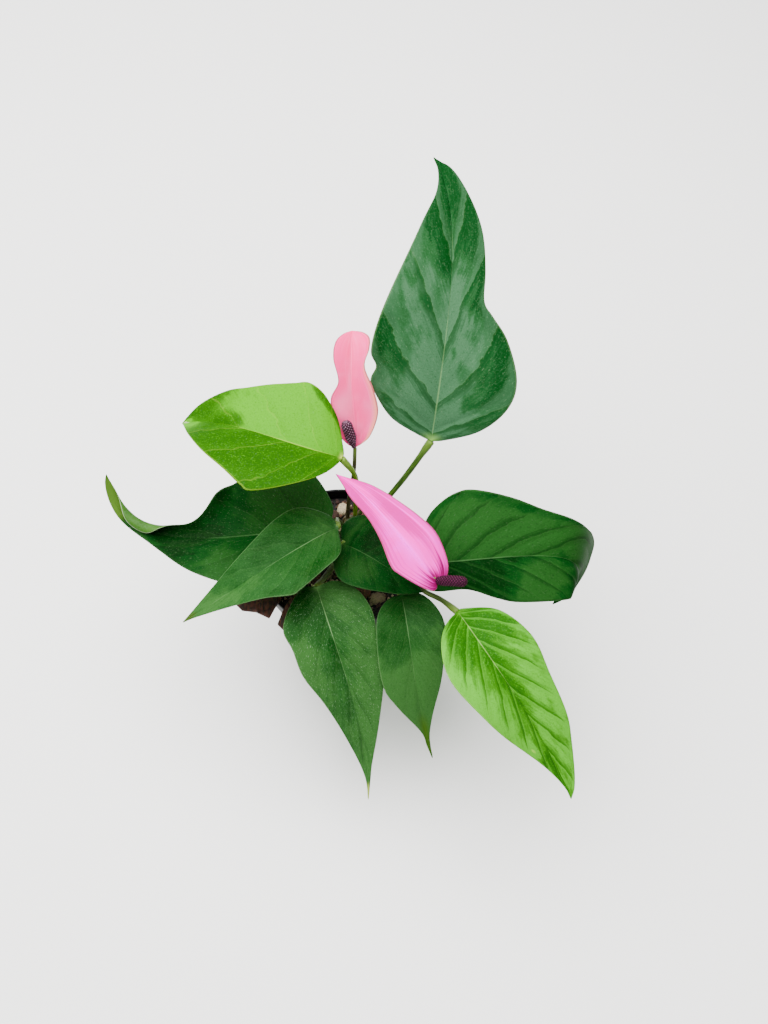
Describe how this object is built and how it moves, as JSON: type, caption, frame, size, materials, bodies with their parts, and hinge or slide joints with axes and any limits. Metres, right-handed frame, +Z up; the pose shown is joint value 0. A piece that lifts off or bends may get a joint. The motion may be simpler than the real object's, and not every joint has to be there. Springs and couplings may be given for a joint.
{
  "type": "potted anthurium",
  "caption": "Young flowering anthurium in a round nursery pot, with broad heart-shaped leaves on arching stalks and pink blooms with dark spadices.",
  "frame": {"origin": "middle of the flat underside of the pot", "axes": "+Z up along the axis of the pot, -Y towards the front, the side that the picture looks from, +X to the right"},
  "size_m": [0.2822, 0.3359, 0.2222],
  "materials": {
    "pot": "satin black nursery-pot plastic",
    "soil": "loose potting mix of bark, pumice and peat",
    "crown": "matte ringed plant stem",
    "bark": "rough bark",
    "leaf_dark": "satin dark green leaf",
    "leaf_deep": "satin very dark green leaf",
    "leaf_mid": "satin mid green leaf",
    "leaf_bright": "glossy bright green leaf",
    "leaf_lime": "glossy lime green young leaf",
    "petiole": "satin olive green stalk",
    "peduncle": "satin brownish stalk",
    "spathe_pink": "satin salmon pink spathe",
    "spathe_magenta": "satin magenta pink spathe",
    "spadix_lilac": "matte purple spadix of fine florets",
    "spadix_maroon": "matte maroon spadix of fine florets"
  },
  "bodies": {
    "root": {"pot": "pot", "soil": "soil", "crown": "crown", "bark_flake": "bark", "bark_splinter": "bark", "leaf_top_blade": "leaf_dark", "leaf_top_petiole": "petiole", "leaf_lime_blade": "leaf_lime", "leaf_lime_petiole": "petiole", "leaf_back_left_blade": "leaf_deep", "leaf_back_left_petiole": "petiole", "leaf_front_left_blade": "leaf_mid", "leaf_front_left_petiole": "petiole", "leaf_front_blade": "leaf_mid", "leaf_front_petiole": "petiole", "leaf_down_blade": "leaf_dark", "leaf_down_petiole": "petiole", "leaf_lower_right_blade": "leaf_bright", "leaf_lower_right_petiole": "petiole", "leaf_right_blade": "leaf_dark", "leaf_right_petiole": "petiole", "leaf_centre_blade": "leaf_deep", "leaf_centre_petiole": "petiole", "bloom_upper_spathe": "spathe_pink", "bloom_upper_peduncle": "peduncle", "bloom_upper_spadix": "spadix_lilac", "bloom_side_spathe": "spathe_magenta", "bloom_side_peduncle": "petiole", "bloom_side_spadix": "spadix_maroon"}
  },
  "joints": []
}
